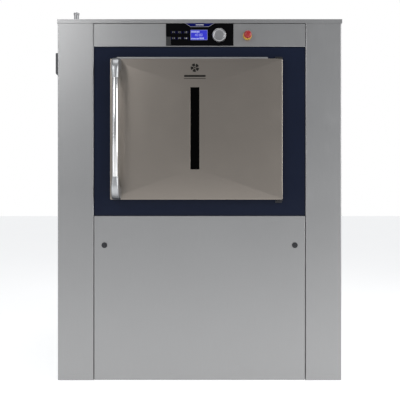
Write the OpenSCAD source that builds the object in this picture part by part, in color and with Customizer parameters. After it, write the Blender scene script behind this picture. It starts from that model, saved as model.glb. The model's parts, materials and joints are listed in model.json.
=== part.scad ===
/* [Casing] */
// Width across the two front pillars
body_w = 1420; // [1400:5:1460]
// Depth from the pillar faces to the rear panel
body_d = 1200; // [1190:5:1300]
// Height from the floor to the top of the cover
body_h = 1805; // [1800:5:1860]
// Thickness of the folded casing sheets
sheet = 2; // [1.5:0.5:3]
// Width of each front pillar
pillar_w = 180; // [160:5:190]
// Depth of the folded returns of the front sheets
return_depth = 40; // [36:1:44]
// Height of the rim around the top cover
cover_rim = 20; // [15:1:30]
// How far the top cover stands out past the walls
cover_overhang = 2.5; // [2:0.5:5]

/* [Front] */
// Lower edge of the header panel that carries the controls
header_bottom = 1668.5; // [1665:0.5:1672]
// Upper edge of the service flap
flap_top = 821; // [810:1:825]
// Gap between neighbouring front sheets
panel_gap = 2; // [1:0.5:3]
// Depth of the door surround behind the pillar faces
surround_recess = 6; // [4:1:8]

/* [Door] */
// Width of the door
door_w = 856; // [840:2:870]
// Height of the door
door_h = 700; // [690:2:710]
// Sideways place of the door's middle
door_x = -16; // [-20:0.5:-10]
// Lower edge of the door
door_bottom = 903; // [895:1:910]
// Thickness of the door's outer tray
door_depth = 26; // [20:1:30]
// Width of the load opening
load_w = 760; // [700:5:780]
// Height of the load opening
load_h = 600; // [560:5:610]
// Width of the sight slot
slot_w = 45; // [40:1:60]
// Height of the sight slot
slot_h = 408; // [380:2:420]
// Sideways place of the sight slot
slot_x = -23.5; // [-30:0.5:-15]
// Height of the middle of the sight slot
slot_z = 1257; // [1240:1:1270]

/* [Handle] */
// Diameter of the handle tube
handle_d = 30; // [28:1:36]
// Length of the straight tube between the cast ends
handle_length = 478; // [460:2:500]
// Height of the middle of the tube
handle_z = 1253; // [1240:1:1260]
// Sideways place of the tube's axis
handle_x = -407; // [-415:1:-400]
// Distance from the door's face to the tube's axis
handle_reach = 75; // [60:1:80]

/* [Drum] */
// Outer radius of the drum
drum_r = 500; // [480:5:505]
// Length of the drum
drum_length = 700; // [650:10:720]
// Height of the drum's axis
drum_z = 1240; // [1235:1:1245]
// Inner radius of the drum's front ring
ring_inner_r = 460; // [450:1:470]
// Height of a lifter above the shell
lifter_h = 110; // [80:5:130]
// Diameter of the drum shaft
shaft_d = 60; // [50:5:70]

/* [Drive] */
// Diameter of the large pulley on the drum shaft
drum_pulley_d = 600; // [560:10:640]
// Diameter of the small pulley on the gear motor
motor_pulley_d = 100; // [90:5:120]
// Sideways place of the gear motor's shaft
motor_x = -330; // [-360:5:-300]
// Height of the gear motor's shaft
motor_z = 330; // [310:5:360]

/* [Air path] */
// Diameter of the fan wheel
fan_d = 380; // [340:10:400]
// Outer diameter of the exhaust spigot
exhaust_d = 200; // [180:5:220]
// Length of the spigot behind the rear panel
exhaust_length = 115; // [100:5:120]

/* [Controls] */
// Width of the control fascia
fascia_w = 337; // [330:1:345]
// Height of the control fascia
fascia_h = 111; // [100:1:112]
// Diameter of the selector knob
knob_d = 70; // [60:1:74]
// Diameter of the emergency stop head
stop_head_d = 38; // [36:1:42]
// Travel of the emergency stop
stop_travel = 6; // [4:0.5:6]

/* [Hidden] */
$fn = 64;

front_y = -body_d / 2;
rear_y = body_d / 2;
side_x = body_w / 2;
inner_x = side_x - pillar_w - panel_gap;
cover_underside = body_h - cover_rim;
bend_r = 5;
steel = [0.62, 0.62, 0.63];
galvanised = [0.72, 0.74, 0.76];
frame_grey = [0.45, 0.46, 0.48];

// Frame
foot_h = 12;
tube = 60;
base_x = side_x - 20;
base_front = front_y + 50;
base_rear = rear_y - 50;
post = 40;
post_x = side_x - 15;
frame_top = cover_underside - 5;
beam_y = 300;
beam_offset = 150;
anchor_hole = 14;
anchor_x = base_x - 60;
anchor_y = base_rear + 12 - 60;
plate = 100;

// Door and load opening
door_top = door_bottom + door_h;
surround_y = front_y + surround_recess;
surround_t = 4;
liner_t = 2;
gasket_h = 5.5;
liner_y = surround_y - 0.5 - gasket_h;
door_y = liner_y - liner_t - door_depth;
opening_x = door_x + 0.5;
opening_z = door_bottom + door_h / 2;
opening_half = door_h / 2;
opening_r = 150;
bulkhead_y = front_y + 55;
bulkhead_t = 4;
pivot_x = door_x + door_w / 2 - 9;
pivot_y = door_y + 10;
pivot_d = 10;

// Service flap
flap_bottom = 2.5;
flap_w = 2 * inner_x - 1;
flap_depth = 30;
flap_axis_y = front_y + 8;
flap_axis_z = 24;
flap_pin_d = 8;
lock_x = 476;
lock_z = 675.5;

// Drum and drive
drum_front = front_y + 70;
drum_rear = drum_front + drum_length;
drum_t = 2;
housing_r = drum_r + 22;
housing_rear = drum_rear + 32;
pulley_y = 440;
pulley_w = 35;
belt_w = 30;
belt_t = 6;
belt_clear = 0.6;
bearing_d = 110;
bearing_w = 22;

// Air path
lint_x = 300;
lint_low = 410;
lint_high = 690;
lint_rear = 60;
fan_x = 304;
fan_case_w = 166;
fan_y = -100;
fan_z = 540;
exhaust_x = fan_x + fan_case_w / 2;
exhaust_z = 368;

// Controls
fascia_y = front_y - 3;
fascia_z = 1728;
key_columns = [-130, -100, -68];
key_rows = [1739.5, 1709.5];
key_w = 20;
key_h = 14;
knob_x = 98;
knob_z = 1724;
stop_x = 238.5;
stop_z = 1722.5;

// ---- Shared shapes ----

// Block between two opposite corners
module block(low, high) translate(low) cube(high - low);

// Round bars along each direction
module rod_x(y, z, d, x0, x1) translate([x0, y, z]) rotate([0, 90, 0]) cylinder(d = d, h = x1 - x0);
module rod_y(x, z, d, y0, y1) translate([x, y1, z]) rotate([90, 0, 0]) cylinder(d = d, h = y1 - y0);
module rod_z(x, y, d, z0, z1) translate([x, y, z0]) cylinder(d = d, h = z1 - z0);

// Outline extruded between two depths, drawn as seen from the front
module facing(y0, y1) translate([0, y1, 0]) rotate([90, 0, 0]) linear_extrude(y1 - y0) children();

// Rectangle with round corners about a centre
module rounded(w, h, r) {
    square([w - 2 * r, h], center = true);
    square([w, h - 2 * r], center = true);
    for (sx = [-1, 1])
        for (sy = [-1, 1])
            translate([sx * (w / 2 - r), sy * (h / 2 - r)])
                circle(r);
}

// Rectangle whose two front corners are rounded, front edge on the x axis
module bent_outline(w, d, r) {
    translate([r, 0]) square([w - 2 * r, d]);
    translate([0, r]) square([w, d - r]);
    for (x = [r, w - r])
        translate([x, r]) circle(r);
}

// Folded sheet: a front face with a return along both edges
module folded(w, d, r, t) {
    difference() {
        bent_outline(w, d, r);
        translate([t, t]) bent_outline(w - 2 * t, d, r - t);
    }
}

// Square tubes with open ends
module tube_x(x0, x1, y, z, s, t) difference() {
    block([x0, y, z], [x1, y + s, z + s]);
    block([x0 - 1, y + t, z + t], [x1 + 1, y + s - t, z + s - t]);
}
module tube_y(y0, y1, x, z, s, t) difference() {
    block([x, y0, z], [x + s, y1, z + s]);
    block([x + t, y0 - 1, z + t], [x + s - t, y1 + 1, z + s - t]);
}
module tube_z(z0, z1, x, y, s, t) difference() {
    block([x, y, z0], [x + s, y + s, z1]);
    block([x + t, y + t, z0 - 1], [x + s - t, y + s - t, z1 + 1]);
}

// Rings along the x and y directions
module ring_x(y, z, d_out, d_in, x0, x1) difference() {
    rod_x(y, z, d_out, x0, x1);
    rod_x(y, z, d_in, x0 - 1, x1 + 1);
}
module ring_y(x, z, d_out, d_in, y0, y1) difference() {
    rod_y(x, z, d_out, y0, y1);
    rod_y(x, z, d_in, y0 - 1, y1 + 1);
}

// ---- Frame ----

module base_frame() color(frame_grey) {
    for (y = [base_front, -30, base_rear - tube])
        tube_x(-base_x + tube, base_x - tube, y, foot_h, tube, 4);
    for (x = [-base_x, base_x - tube])
        tube_y(base_front, base_rear, x, foot_h, tube, 4);
    for (sx = [-1, 1])
        for (sy = [-1, 1])
            difference() {
                translate([sx * anchor_x, sy * anchor_y, foot_h / 2])
                    cube([plate, plate, foot_h], center = true);
                rod_z(sx * (anchor_x - 25), sy * (anchor_y - 25), anchor_hole, -1, foot_h + 1);
            }
}

module upper_frame() color(frame_grey) {
    for (side = [0, 1])
        mirror([side, 0, 0]) {
            for (y = [base_front, beam_y, base_rear - post])
                tube_z(foot_h + tube, frame_top - post, -post_x, y, post, 3);
            tube_y(base_front, base_rear, -post_x, frame_top - post, post, 3);
        }
    for (side = [-1, 1])
        translate([0, 0, drum_z + side * beam_offset - tube / 2])
            tube_x(-post_x + post, post_x - post, beam_y, 0, tube, 4);
}

// ---- Casing ----

module front_pillars() color(steel)
    for (side = [0, 1])
        mirror([side, 0, 0])
            translate([-side_x, front_y, 0])
                linear_extrude(cover_underside)
                    folded(pillar_w, return_depth, bend_r, sheet);

module side_panels() color(steel)
    for (side = [-1, 1])
        translate([side * (side_x - sheet / 2), 0, 0])
            block([-sheet / 2, front_y + return_depth + 1, 3], [sheet / 2, rear_y - 2, cover_underside]);

module rear_panel() color(galvanised)
    difference() {
        union() {
            block([-side_x, rear_y - sheet, 3], [side_x, rear_y, cover_underside]);
            for (i = [0:6])
                translate([0, rear_y - 0.5, 1580 + i * 20])
                    rotate([25, 0, 0])
                        block([-190, 0, 0], [190, 9, sheet]);
        }
        for (i = [0:6])
            block([-180, rear_y - 5, 1570 + i * 20], [180, rear_y + 0.2, 1578 + i * 20]);
        rod_y(exhaust_x, exhaust_z, exhaust_d + 4, rear_y - 5, rear_y + 5);
    }

module top_cover() color(steel)
    difference() {
        x = side_x + cover_overhang;
        y = front_y - cover_overhang;
        block([-x, y, cover_underside], [x, -y, body_h]);
        block([-x + sheet, y + sheet, cover_underside - 1], [x - sheet, -y - sheet, body_h - sheet]);
        rod_z(-side_x + 70, front_y + 120, 27, cover_underside, body_h + 1);
    }

module header_panel() color(steel)
    difference() {
        h = cover_underside - 0.6 - header_bottom;
        translate([-inner_x, front_y, header_bottom])
            rotate([90, 0, 90])
                linear_extrude(2 * inner_x)
                    translate([0, h]) rotate(-90) folded(h, return_depth, 2.5, sheet);
        block([-160, front_y - 1, 1682], [160, front_y + 5, 1777]);
        rod_y(stop_x, stop_z, 23, front_y - 1, front_y + 5);
    }

module load_outline(grow)
    translate([opening_x, opening_z])
        rounded(load_w + grow, load_h + grow, opening_r + grow / 2);

module door_surround() color([0.13, 0.15, 0.20])
    facing(surround_y, surround_y + surround_t)
        difference() {
            translate([-inner_x, flap_top + 2])
                square([2 * inner_x, header_bottom - flap_top - 4]);
            load_outline(0);
        }

module front_bulkhead() color(galvanised) {
    facing(bulkhead_y, bulkhead_y + bulkhead_t)
        difference() {
            translate([-640, lint_high + 4]) square([1280, 1072]);
            load_outline(0);
        }
    facing(surround_y + surround_t, bulkhead_y)
        difference() {
            load_outline(6);
            load_outline(0);
        }
}

module terminal_cover() color([0.30, 0.31, 0.32]) {
    translate([-side_x, front_y + 45, 1587.5])
        rotate([0, -90, 0])
            linear_extrude(12)
                rounded(105, 70, 8);
    for (z = [1566, 1601])
        rod_x(front_y + 45, z, 9, -side_x - 15, -side_x - 11);
}

module supply_conduit() color([0.45, 0.46, 0.47])
    difference() {
        union() {
            rod_z(-side_x + 70, front_y + 120, 25, 1735, body_h + 68);
            rod_z(-side_x + 70, front_y + 120, 29, body_h + 58, body_h + 68);
            rod_z(-side_x + 70, front_y + 120, 40, body_h, body_h + 6);
        }
        rod_z(-side_x + 70, front_y + 120, 21, 1700, body_h + 70);
    }

module electrical_box() color([0.78, 0.79, 0.80])
    difference() {
        block([-post_x, base_front + post, 1250], [-545, -205, 1735]);
        block([-post_x + 2, base_front + post + 2, 1252], [-547, -207, 1733]);
        rod_z(-side_x + 70, front_y + 120, 22, 1730, 1740);
    }

// ---- Service flap ----

module service_flap() color(steel)
    difference() {
        union() {
            translate([-flap_w / 2, front_y, flap_bottom])
                linear_extrude(flap_top - flap_bottom)
                    folded(flap_w, flap_depth, 4, sheet);
            block([-flap_w / 2 + sheet, front_y + 1, flap_top - sheet],
                  [flap_w / 2 - sheet, front_y + flap_depth, flap_top]);
            for (side = [-1, 1])
                for (x = [-20, 12])
                    block([side * 400 + x, front_y + 1, flap_axis_z - 9],
                          [side * 400 + x + 8, flap_axis_y + 9, flap_axis_z + 9]);
        }
        for (side = [-1, 1]) {
            rod_x(flap_axis_y, flap_axis_z, flap_pin_d + 0.8, side * 400 - 21, side * 400 + 21);
            rod_y(side * lock_x, lock_z, 20.8, front_y - 1, front_y + 5);
        }
    }

module flap_hinges() color(galvanised)
    for (side = [-1, 1])
        translate([side * 400, 0, 0]) {
            rod_x(flap_axis_y, flap_axis_z, flap_pin_d, -22, 22);
            rod_x(flap_axis_y, flap_axis_z, 11, -8, 8);
            block([-8, flap_axis_y, flap_axis_z - 5.5], [8, base_front, flap_axis_z + 5.5]);
        }

// Quarter-turn lock with its cam pointing up, unlocked
module lock(x) color([0.20, 0.20, 0.21]) {
    difference() {
        rod_y(x, lock_z, 28, front_y - 3.5, front_y - 0.2);
        block([x - 1.5, front_y - 4, lock_z - 8], [x + 1.5, front_y - 2, lock_z + 8]);
    }
    rod_y(x, lock_z, 20, front_y - 0.2, front_y + 48);
    block([x - 9, front_y + 44, lock_z], [x + 9, front_y + 48, lock_z + 62]);
}

module lock_left() lock(-lock_x);

module lock_right() lock(lock_x);

// ---- Door ----

module slot_outline(grow) translate([slot_x, slot_z]) square([slot_w + grow, slot_h + grow], center = true);

module door_outline(inset, r) translate([door_x, opening_z]) rounded(door_w - inset, door_h - inset, r);

module door_skin() color([0.48, 0.46, 0.44])
    difference() {
        facing(door_y, door_y + door_depth) door_outline(0, 3);
        facing(door_y + sheet, door_y + door_depth + 1) door_outline(2 * sheet, 2);
        facing(door_y - 1, door_y + 5) slot_outline(0);
        rod_z(pivot_x, pivot_y, pivot_d + 2, door_bottom - 1, door_bottom + 5);
        rod_z(pivot_x, pivot_y, pivot_d + 2, door_top - 5, door_top + 1);
    }

module door_top_lip() color(steel) {
    block([-410, door_y + 2, door_top], [338, door_y + 22, door_top + 2]);
    block([-410, door_y + 2, door_top], [338, door_y + 4, door_top + 7]);
}

module door_liner() color(galvanised)
    difference() {
        union() {
            facing(liner_y - liner_t, liner_y) door_outline(8, 3);
            facing(liner_y, liner_y + 22)
                translate([opening_x, opening_z]) rounded(load_w - 40, load_h - 40, opening_r - 20);
        }
        facing(liner_y, liner_y + 23)
            translate([opening_x, opening_z]) rounded(load_w - 44, load_h - 44, opening_r - 22);
        facing(liner_y - 5, liner_y + 5) slot_outline(0);
    }

module door_gasket() color([0.10, 0.10, 0.10])
    facing(liner_y, liner_y + gasket_h)
        difference() {
            load_outline(56);
            load_outline(16);
        }

module sight_glass() color([0.05, 0.05, 0.06])
    facing(door_y + sheet, door_y + sheet + 6)
        slot_outline(20);

module handle_tube() color([0.80, 0.80, 0.82])
    difference() {
        z0 = handle_z - handle_length / 2;
        rod_z(handle_x, door_y - handle_reach, handle_d, z0, z0 + handle_length);
        rod_z(handle_x, door_y - handle_reach, handle_d - 5, z0 - 1, z0 + handle_length + 1);
    }

// Cast end of the handle above the tube, bending back and widening to its foot on the door
module handle_end() {
    z0 = handle_z + handle_length / 2;
    top = handle_z + opening_half - 1;
    r = handle_d / 2 + 1;
    y = door_y - handle_reach;
    bend = [for (a = [0:10:90]) [door_y - (handle_reach + r) * cos(a), top - 72 + 72 * sin(a)]];
    inside = [for (a = [90:-15:0]) [door_y - (handle_reach - r) * cos(a), z0 + 8 + 41 * sin(a)]];
    intersection() {
        translate([handle_x - 40, 0, 0])
            rotate([90, 0, 90])
                linear_extrude(80)
                    polygon(concat([[y - r, z0]], bend, inside, [[y + r, z0]]));
        facing(y - r - 1, door_y)
            polygon([
                [handle_x - r, z0], [handle_x - 26.5, top], [handle_x + 19.5, top],
                [handle_x + 19.5, top - 61], [handle_x + r, z0]
            ]);
    }
}

module handle_brackets() color([0.70, 0.70, 0.72]) {
    handle_end();
    translate([0, 0, 2 * handle_z]) mirror([0, 0, 1]) handle_end();
}

module hinge_bushes() color(galvanised)
    for (z = [door_bottom + sheet + 1, door_top - sheet - 31])
        difference() {
            block([pivot_x - 14, door_y + sheet, z], [pivot_x + 6.4, liner_y - liner_t, z + 30]);
            rod_z(pivot_x, pivot_y, pivot_d + 0.2, z - 1, z + 31);
        }

// Pivot bracket on the door surround, its pin pointing up into the door
module pivot_bracket(z) {
    block([pivot_x - 14, door_y + 1, z - 5], [pivot_x + 9, surround_y, z]);
    block([pivot_x - 24, surround_y - 4, z - 14], [pivot_x + 9, surround_y, z]);
    rod_z(pivot_x, pivot_y, pivot_d, z, z + 28);
}

module hinge_brackets() color([0.10, 0.11, 0.13]) {
    pivot_bracket(door_bottom - 1.5);
    translate([0, 0, 2 * opening_z]) mirror([0, 0, 1]) pivot_bracket(door_bottom - 1.5);
}

// ---- Drum ----

module drum_shell() color([0.80, 0.81, 0.82])
    difference() {
        rod_y(0, drum_z, 2 * drum_r, drum_front, drum_rear);
        rod_y(0, drum_z, 2 * (drum_r - drum_t), drum_front + drum_t, drum_rear + 1);
        rod_y(0, drum_z, 2 * ring_inner_r, drum_front - 1, drum_front + 5);
    }

module drum_back() color([0.80, 0.81, 0.82])
    difference() {
        union() {
            rod_y(0, drum_z, 2 * (drum_r - drum_t), drum_rear - 3, drum_rear);
            rod_y(0, drum_z, 160, drum_rear, drum_rear + 20);
            for (a = [30:60:330])
                translate([0, 0, drum_z])
                    rotate([0, a, 0])
                        block([70, drum_rear, -15], [drum_r - 30, drum_rear + 14, 15]);
        }
        rod_y(0, drum_z, shaft_d, drum_rear - 5, drum_rear + 25);
    }

module drum_lifters() color([0.82, 0.83, 0.84])
    for (a = [0, 120, 240])
        facing(drum_front + 5, drum_rear - 3)
            translate([0, drum_z])
                rotate(a) {
                    base = drum_r - drum_t - 5;
                    tip = drum_r - lifter_h;
                    polygon([[-65, -base], [65, -base], [15, -tip - 4], [-15, -tip - 4]]);
                    translate([0, -tip - 15]) circle(16);
                }

module drum_shaft() color([0.60, 0.61, 0.63])
    rod_y(0, drum_z, shaft_d, drum_rear - 3, pulley_y + pulley_w + 5);

module shaft_bearings() color([0.55, 0.56, 0.58])
    for (y = [236, 396])
        ring_y(0, drum_z, bearing_d, shaft_d + 0.6, y, y + bearing_w);

module bearing_housing() color([0.30, 0.36, 0.42])
    difference() {
        union() {
            rod_y(0, drum_z, bearing_d + 30, 232, 422);
            facing(beam_y + tube, beam_y + tube + 12)
                translate([0, drum_z]) rounded(400, 376, 20);
            for (sx = [-1, 1])
                for (sz = [-1, 1])
                    rod_y(sx * 170, drum_z + sz * beam_offset, 26,
                          beam_y + tube + 12, beam_y + tube + 24, $fn = 6);
        }
        rod_y(0, drum_z, bearing_d, 200, 430);
    }

// ---- Drive ----

module drum_pulley() color([0.50, 0.51, 0.53])
    difference() {
        rod_y(0, drum_z, drum_pulley_d, pulley_y, pulley_y + pulley_w);
        ring_y(0, drum_z, drum_pulley_d - 40, 120, pulley_y - 1, pulley_y + 13);
        ring_y(0, drum_z, drum_pulley_d - 40, 120, pulley_y + 21, pulley_y + pulley_w + 1);
        rod_y(0, drum_z, shaft_d, pulley_y - 1, pulley_y + pulley_w + 1);
    }

// Outline of the belt path, grown by a distance from both pulleys
module belt_path(grow)
    hull() {
        translate([0, drum_z]) circle(d = drum_pulley_d + 2 * grow, $fn = 120);
        translate([motor_x, motor_z]) circle(d = motor_pulley_d + 2 * grow, $fn = 60);
    }

module drive_belt() color([0.08, 0.08, 0.08])
    facing(pulley_y + (pulley_w - belt_w) / 2, pulley_y + (pulley_w + belt_w) / 2)
        difference() {
            belt_path(belt_clear + belt_t);
            belt_path(belt_clear);
        }

module gear_motor() color([0.30, 0.36, 0.42]) {
    difference() {
        block([motor_x - 90, 250, motor_z - 100], [motor_x + 90, 420, motor_z + 100]);
        rod_y(motor_x, motor_z, 40, 380, 421);
    }
    rod_y(motor_x, motor_z, 200, 235, 250);
    rod_y(motor_x, motor_z, 172, 100, 235);
    rod_y(motor_x, motor_z, 182, 70, 100);
    block([motor_x - 50, 120, motor_z + 80], [motor_x + 50, 200, motor_z + 125]);
}

module motor_pulley() color([0.50, 0.51, 0.53]) {
    rod_y(motor_x, motor_z, 30, 390, pulley_y + pulley_w + 5);
    rod_y(motor_x, motor_z, motor_pulley_d, pulley_y, pulley_y + pulley_w);
}

module motor_bracket() color(frame_grey) {
    for (x = [motor_x - 85, motor_x + 45])
        tube_y(-30, base_rear, x, foot_h + tube, 40, 3);
    block([motor_x - 95, 230, 112], [motor_x + 95, 430, 122]);
    for (x = [motor_x - 85, motor_x + 75])
        block([x, 260, 122], [x + 10, 410, motor_z - 100]);
}

// ---- Air path ----

module drum_housing() color(galvanised)
    difference() {
        union() {
            rod_y(0, drum_z, 2 * housing_r + 4, bulkhead_y + bulkhead_t, housing_rear);
            block([-253, -443, lint_high], [253, -37, drum_z - 400]);
        }
        rod_y(0, drum_z, 2 * housing_r, bulkhead_y, housing_rear - 2);
        block([-250, -440, lint_high - 1], [250, -40, drum_z]);
        rod_y(0, drum_z, 90, housing_rear - 5, housing_rear + 5);
        block([-300, housing_rear - 5, 1450], [300, housing_rear + 5, 1640]);
    }

module heater_box() color([0.74, 0.75, 0.76])
    difference() {
        union() {
            block([-400, housing_rear, 1440], [400, 425, 1735]);
            block([-200, 425, 1560], [200, rear_y - sheet, 1720]);
        }
        block([-398, housing_rear + 2, 1442], [398, 423, 1733]);
        block([-300, housing_rear - 1, 1450], [300, housing_rear + 5, 1640]);
        block([-198, 420, 1562], [198, rear_y, 1718]);
    }

module heater_elements() color([0.35, 0.30, 0.27])
    for (y = [260, 310, 360])
        for (z = [1490, 1570, 1650])
            rod_x(y, z, 12, -398, 398);

module lint_housing() color(galvanised)
    difference() {
        block([-lint_x, -540, lint_low], [lint_x, lint_rear, lint_high]);
        block([-lint_x + 2, -541, lint_low + 2], [lint_x - 2, lint_rear - 2, lint_high - 2]);
        block([-250, -440, lint_high - 5], [250, -40, lint_high + 1]);
        rod_x(fan_y, fan_z, 220, lint_x - 5, lint_x + 5);
    }

module lint_drawer() color([0.66, 0.68, 0.70]) {
    block([-294, -547, lint_low + 6], [294, -542, lint_high - 6]);
    difference() {
        block([-285, -542, lint_low + 20], [285, 40, lint_low + 60]);
        block([-270, -530, lint_low], [270, 28, lint_low + 80]);
    }
    block([-272, -532, lint_low + 38], [272, 30, lint_low + 41]);
    for (x = [-60, 48])
        block([x, -562, 540], [x + 12, -547, 552]);
    rod_x(-558, 546, 10, -60, 60);
}

module fan_housing() color(galvanised)
    difference() {
        union() {
            rod_x(fan_y, fan_z, 480, fan_x, fan_x + fan_case_w);
            block([fan_x, fan_y, 300], [fan_x + fan_case_w, 545, 440]);
            block([exhaust_x - 110, 540, exhaust_z - 110],
                  [exhaust_x + 110, rear_y - sheet, exhaust_z + 110]);
            ring_x(fan_y, fan_z, 230, 219, lint_x, fan_x);
        }
        rod_x(fan_y, fan_z, 476, fan_x + 2, fan_x + fan_case_w - 2);
        block([fan_x + 2, fan_y, 302], [fan_x + fan_case_w - 2, 550, 438]);
        block([exhaust_x - 108, 542, exhaust_z - 108], [exhaust_x + 108, rear_y - 4, exhaust_z + 108]);
        rod_x(fan_y, fan_z, 219, lint_x - 1, fan_x + 5);
        rod_x(fan_y, fan_z, 40, fan_x + fan_case_w - 5, fan_x + fan_case_w + 5);
        rod_y(exhaust_x, exhaust_z, exhaust_d - 4, rear_y - 10, rear_y + 1);
    }

module fan_wheel() color([0.58, 0.60, 0.62]) {
    x0 = fan_x + 18;
    x1 = fan_x + 146;
    rod_x(fan_y, fan_z, fan_d, x1 - 3, x1);
    ring_x(fan_y, fan_z, fan_d, fan_d - 70, x0, x0 + 3);
    rod_x(fan_y, fan_z, 70, x1 - 50, x1);
    rod_x(fan_y, fan_z, 24, x1 - 60, fan_x + fan_case_w + 30);
    for (a = [0:15:345])
        translate([0, fan_y, fan_z])
            rotate([a, 0, 0])
                translate([0, 0, fan_d / 2 - 36])
                    rotate([30, 0, 0])
                        block([x0, -1.5, 0], [x1, 1.5, 36]);
}

module fan_motor() color([0.30, 0.36, 0.42])
    difference() {
        x = fan_x + fan_case_w;
        union() {
            rod_x(fan_y, fan_z, 220, x, x + 10);
            rod_x(fan_y, fan_z, 172, x + 10, x + 140);
            rod_x(fan_y, fan_z, 180, x + 140, x + 170);
            block([x + 30, fan_y - 45, fan_z + 80], [x + 120, fan_y + 45, fan_z + 118]);
        }
        rod_x(fan_y, fan_z, 26, x - 1, x + 34);
    }

module exhaust_spigot() color(galvanised)
    difference() {
        union() {
            rod_y(exhaust_x, exhaust_z, exhaust_d, rear_y - sheet, rear_y + exhaust_length);
            rod_y(exhaust_x, exhaust_z, exhaust_d + 50, rear_y, rear_y + 3);
        }
        rod_y(exhaust_x, exhaust_z, exhaust_d - 4, rear_y - 5, rear_y + exhaust_length + 1);
    }

// ---- Controls ----

module control_fascia() color([0.05, 0.05, 0.06])
    facing(fascia_y, front_y)
        difference() {
            translate([0.5, fascia_z]) rounded(fascia_w, fascia_h, 2);
            for (x = key_columns)
                for (z = key_rows)
                    translate([x, z]) rounded(key_w + 0.8, key_h + 0.8, 2.4);
            translate([-3, 1726]) square([84, 50], center = true);
            translate([knob_x, knob_z]) circle(d = 9);
        }

module display() color([0.20, 0.25, 0.85]) {
    block([-44.8, fascia_y + 0.4, 1701.2], [38.8, front_y + 10, 1750.8]);
    block([-150, front_y + 10, 1690], [75, front_y + 12, 1770]);
}

module badge_plate() color([0.12, 0.14, 0.20])
    facing(fascia_y - 2.5, fascia_y)
        polygon([[-72, 1783.5], [73, 1783.5], [45.5, 1766.5], [-44.5, 1766.5]]);

module key(column, row) color([0.08, 0.08, 0.09])
    facing(fascia_y - 1.5, front_y + 1.5)
        translate([key_columns[column], key_rows[row]])
            rounded(key_w, key_h, 2);

module key_1() key(0, 0);

module key_2() key(1, 0);

module key_3() key(2, 0);

module key_4() key(0, 1);

module key_5() key(1, 1);

module key_6() key(2, 1);

module encoder_shaft() color([0.60, 0.61, 0.63])
    rod_y(knob_x, knob_z, 8, fascia_y - 11, front_y + 15);

module knob() color([0.52, 0.53, 0.54])
    difference() {
        union() {
            rod_y(knob_x, knob_z, knob_d, fascia_y - 12, fascia_y - 3);
            rod_y(knob_x, knob_z, knob_d - 6, fascia_y - 15, fascia_y - 12);
        }
        rod_y(knob_x, knob_z, 8.6, fascia_y - 12.5, fascia_y - 2);
    }

module port_cover() color([0.20, 0.21, 0.22]) {
    facing(fascia_y - 3, fascia_y - 0.4)
        translate([-155, 1694.5]) rounded(22, 44, 1.2);
    rod_z(-166.5, fascia_y - 1.6, 2.4, 1672.5, 1716.5);
}

module stop_collar() color([0.85, 0.70, 0.12])
    ring_y(stop_x, stop_z, stop_head_d + 6, 17, front_y - 14, front_y);

module stop_stem() color([0.30, 0.30, 0.31])
    rod_y(stop_x, stop_z, 16, front_y - 26, front_y + 8);

module stop_head() color([0.70, 0.12, 0.12])
    difference() {
        union() {
            rod_y(stop_x, stop_z, stop_head_d, front_y - 36, front_y - 14.5 - stop_travel);
            rod_y(stop_x, stop_z, stop_head_d - 8, front_y - 39, front_y - 36);
        }
        rod_y(stop_x, stop_z, 16.6, front_y - 27, front_y - 14);
    }

base_frame();
upper_frame();
front_pillars();
side_panels();
rear_panel();
top_cover();
header_panel();
door_surround();
front_bulkhead();
terminal_cover();
supply_conduit();
electrical_box();
service_flap();
flap_hinges();
lock_left();
lock_right();
door_skin();
door_top_lip();
door_liner();
door_gasket();
sight_glass();
handle_tube();
handle_brackets();
hinge_bushes();
hinge_brackets();
drum_shell();
drum_back();
drum_lifters();
drum_shaft();
shaft_bearings();
bearing_housing();
drum_pulley();
drive_belt();
gear_motor();
motor_pulley();
motor_bracket();
drum_housing();
heater_box();
heater_elements();
lint_housing();
lint_drawer();
fan_housing();
fan_wheel();
fan_motor();
exhaust_spigot();
control_fascia();
display();
badge_plate();
key_1();
key_2();
key_3();
key_4();
key_5();
key_6();
encoder_shaft();
knob();
port_cover();
stop_collar();
stop_stem();
stop_head();
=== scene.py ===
import json
import math

import bmesh
import bpy
from mathutils import Matrix, Vector


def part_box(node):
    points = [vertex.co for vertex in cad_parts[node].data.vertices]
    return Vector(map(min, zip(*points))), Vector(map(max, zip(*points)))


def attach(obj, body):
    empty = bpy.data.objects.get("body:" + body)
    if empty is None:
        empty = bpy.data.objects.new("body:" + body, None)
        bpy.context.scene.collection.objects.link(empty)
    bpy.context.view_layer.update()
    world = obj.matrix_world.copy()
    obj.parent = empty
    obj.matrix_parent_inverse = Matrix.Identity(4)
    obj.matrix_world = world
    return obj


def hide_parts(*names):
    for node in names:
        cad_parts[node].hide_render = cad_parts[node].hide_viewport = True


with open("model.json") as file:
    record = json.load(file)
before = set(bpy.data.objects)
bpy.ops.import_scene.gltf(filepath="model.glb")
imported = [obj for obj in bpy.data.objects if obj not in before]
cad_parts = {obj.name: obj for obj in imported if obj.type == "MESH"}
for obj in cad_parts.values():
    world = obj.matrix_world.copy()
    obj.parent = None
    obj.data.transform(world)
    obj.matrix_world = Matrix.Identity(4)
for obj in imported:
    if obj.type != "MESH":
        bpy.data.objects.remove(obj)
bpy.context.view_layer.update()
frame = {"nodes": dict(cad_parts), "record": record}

MM = 0.001


# ---- Studio ----

def aim(obj, target):
    """Turns a light or camera so that it looks at a point."""
    direction = Vector(target) - obj.location
    obj.rotation_euler = direction.to_track_quat("-Z", "Y").to_euler()


def softbox(name, place, target, width, height, power):
    """White rectangular light, sizes in metres and power in watts."""
    data = bpy.data.lights.new(name, "AREA")
    data.shape = "RECTANGLE"
    data.size = width
    data.size_y = height
    data.energy = power
    light = bpy.data.objects.new(name, data)
    bpy.context.scene.collection.objects.link(light)
    light.location = place
    aim(light, target)


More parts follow.
